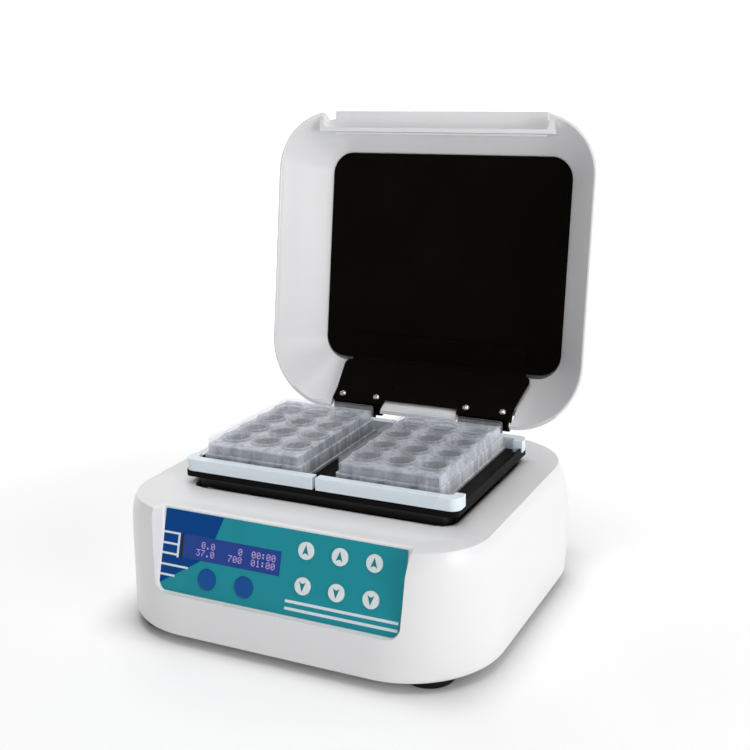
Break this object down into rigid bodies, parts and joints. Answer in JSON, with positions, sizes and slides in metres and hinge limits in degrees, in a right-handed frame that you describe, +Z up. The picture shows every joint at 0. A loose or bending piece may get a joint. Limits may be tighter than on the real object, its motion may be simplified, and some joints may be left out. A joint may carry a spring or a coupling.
{
  "type": "microplate incubator",
  "caption": "Bench-top microplate incubator with orbital mixing: white housing, tilted control panel, black platform with rails, clear lidded microplates and a heated hinged lid, open.",
  "frame": {"origin": "centre of the bounding box at table height, lid open", "axes": "+X to the operator's right, +Y away from the operator (panel faces -Y), +Z up"},
  "size_m": [0.293, 0.3384, 0.3545],
  "materials": {
    "shell_white": "smooth white moulded shell",
    "sheet_steel": "plain zinc-plated sheet",
    "rubber_black": "matte",
    "steel": "machined",
    "plastic_grey": "matte",
    "panel_teal": "printed film, teal with a dark blue corner and white lines",
    "display_blue": "clear window over a lit blue display",
    "plastic_black": "matte",
    "board_green": "circuit board",
    "key_white": "white with a teal arrow",
    "key_blue": "blue with a white ring",
    "aluminium": "machined",
    "motor_black": "satin",
    "brass": "machined",
    "insulation": "fibre mat",
    "heater_silicone": "silicone with embedded foil",
    "plate_black": "satin black coating",
    "rail_white": "pale, slightly translucent",
    "clear_plastic": "clear polystyrene",
    "bracket_black": "satin black powder coat"
  },
  "bodies": {
    "base": {"housing": "shell_white", "base_plate": "sheet_steel", "feet": "rubber_black", "foot_screws": "steel", "base_screws": "steel", "panel_backing": "plastic_grey", "panel_overlay": "panel_teal", "display_window": "display_blue", "display_module": "plastic_black", "keypad_board": "board_green", "panel_standoffs": "steel", "drive_plate": "aluminium", "drive_posts": "steel", "drive_screws": "steel", "motor": "motor_black", "shaft_bearing": "steel", "idler_bushes": "brass", "main_board": "board_green", "board_standoffs": "steel", "power_supply": "aluminium", "mains_inlet": "plastic_black", "switch_frame": "plastic_black", "hinge_posts": "bracket_black"},
    "crank": {"crank_shaft": "steel", "counterweight": "brass"},
    "idler_left": {"idler_crank_left": "steel"},
    "idler_right": {"idler_crank_right": "steel"},
    "idler_rear": {"idler_crank_rear": "steel"},
    "platform": {"platform_hub": "aluminium", "hub_bearing": "steel", "carrier_plate": "aluminium", "tray_spacers": "steel", "insulation_pad": "insulation", "heater_mat": "heater_silicone", "temp_sensor": "steel", "platform_tray": "plate_black", "front_rails": "rail_white", "rear_rails": "rail_white"},
    "plate_left": {"microplate_left": "clear_plastic"},
    "plate_left_cover": {"microplate_left_lid": "clear_plastic"},
    "plate_right": {"microplate_right": "clear_plastic"},
    "plate_right_cover": {"microplate_right_lid": "clear_plastic"},
    "fuse_drawer": {"fuse_drawer": "plastic_black"},
    "rocker": {"rocker": "plastic_black"},
    "lid": {"lid_shell": "shell_white", "lid_plate": "plate_black", "lid_heater_mat": "heater_silicone", "lid_insulation": "insulation", "lid_bracket": "bracket_black", "bracket_screws": "steel", "hinge_leaves": "bracket_black", "hinge_pins": "steel"},
    "key_temp_up": {"key_temp_up": "key_white"},
    "key_temp_down": {"key_temp_down": "key_white"},
    "key_speed_up": {"key_speed_up": "key_white"},
    "key_speed_down": {"key_speed_down": "key_white"},
    "key_time_up": {"key_time_up": "key_white"},
    "key_time_down": {"key_time_down": "key_white"},
    "key_select": {"key_select": "key_blue"},
    "key_run": {"key_run": "key_blue"}
  },
  "joints": [
    {"name": "lid_hinge", "type": "hinge", "parent": "base", "child": "lid", "pos_m": [0, 0.0896, 0.1049], "axis": [-1, 0, 0], "range_deg": [-99, 0]},
    {"name": "crank_spin", "type": "hinge", "parent": "base", "child": "crank", "pos_m": [-0.001, -0.0272, 0.05], "axis": [0, 0, 1], "continuous": true},
    {"name": "platform_orbit", "type": "hinge", "parent": "crank", "child": "platform", "pos_m": [0, -0.0272, 0.076], "axis": [0, 0, 1], "continuous": true},
    {"name": "idler_left_spin", "type": "hinge", "parent": "base", "child": "idler_left", "pos_m": [-0.079, -0.0672, 0.05], "axis": [0, 0, 1], "continuous": true},
    {"name": "idler_right_spin", "type": "hinge", "parent": "base", "child": "idler_right", "pos_m": [0.077, -0.0672, 0.05], "axis": [0, 0, 1], "continuous": true},
    {"name": "idler_rear_spin", "type": "hinge", "parent": "base", "child": "idler_rear", "pos_m": [-0.001, 0.0288, 0.05], "axis": [0, 0, 1], "continuous": true},
    {"name": "plate_left_lift", "type": "slide", "parent": "platform", "child": "plate_left", "axis": [0, 0, 1], "range_m": [0, 0.06]},
    {"name": "plate_left_cover_lift", "type": "slide", "parent": "plate_left", "child": "plate_left_cover", "axis": [0, 0, 1], "range_m": [0, 0.03]},
    {"name": "plate_right_lift", "type": "slide", "parent": "platform", "child": "plate_right", "axis": [0, 0, 1], "range_m": [0, 0.06]},
    {"name": "plate_right_cover_lift", "type": "slide", "parent": "plate_right", "child": "plate_right_cover", "axis": [0, 0, 1], "range_m": [0, 0.03]},
    {"name": "key_temp_up_press", "type": "slide", "parent": "base", "child": "key_temp_up", "axis": [0, 0.9575, -0.2884], "range_m": [0, 0.0005], "stiffness_N_per_m": 800, "springref_m": -0.0005},
    {"name": "key_temp_down_press", "type": "slide", "parent": "base", "child": "key_temp_down", "axis": [0, 0.9575, -0.2884], "range_m": [0, 0.0005], "stiffness_N_per_m": 800, "springref_m": -0.0005},
    {"name": "key_speed_up_press", "type": "slide", "parent": "base", "child": "key_speed_up", "axis": [0, 0.9575, -0.2884], "range_m": [0, 0.0005], "stiffness_N_per_m": 800, "springref_m": -0.0005},
    {"name": "key_speed_down_press", "type": "slide", "parent": "base", "child": "key_speed_down", "axis": [0, 0.9575, -0.2884], "range_m": [0, 0.0005], "stiffness_N_per_m": 800, "springref_m": -0.0005},
    {"name": "key_time_up_press", "type": "slide", "parent": "base", "child": "key_time_up", "axis": [0, 0.9575, -0.2884], "range_m": [0, 0.0005], "stiffness_N_per_m": 800, "springref_m": -0.0005},
    {"name": "key_time_down_press", "type": "slide", "parent": "base", "child": "key_time_down", "axis": [0, 0.9575, -0.2884], "range_m": [0, 0.0005], "stiffness_N_per_m": 800, "springref_m": -0.0005},
    {"name": "key_select_press", "type": "slide", "parent": "base", "child": "key_select", "axis": [0, 0.9575, -0.2884], "range_m": [0, 0.0005], "stiffness_N_per_m": 800, "springref_m": -0.0005},
    {"name": "key_run_press", "type": "slide", "parent": "base", "child": "key_run", "axis": [0, 0.9575, -0.2884], "range_m": [0, 0.0005], "stiffness_N_per_m": 800, "springref_m": -0.0005},
    {"name": "fuse_drawer_slide", "type": "slide", "parent": "base", "child": "fuse_drawer", "axis": [0, 1, 0], "range_m": [0, 0.02]},
    {"name": "rocker_tilt", "type": "hinge", "parent": "base", "child": "rocker", "pos_m": [-0.035, 0.085, 0.046], "axis": [1, 0, 0], "range_deg": [0, 16]}
  ],
  "couplings": [
    {"joint": "platform_orbit", "follows": "crank_spin", "ratio": -1},
    {"joint": "idler_left_spin", "follows": "crank_spin", "ratio": 1},
    {"joint": "idler_right_spin", "follows": "crank_spin", "ratio": 1},
    {"joint": "idler_rear_spin", "follows": "crank_spin", "ratio": 1}
  ]
}
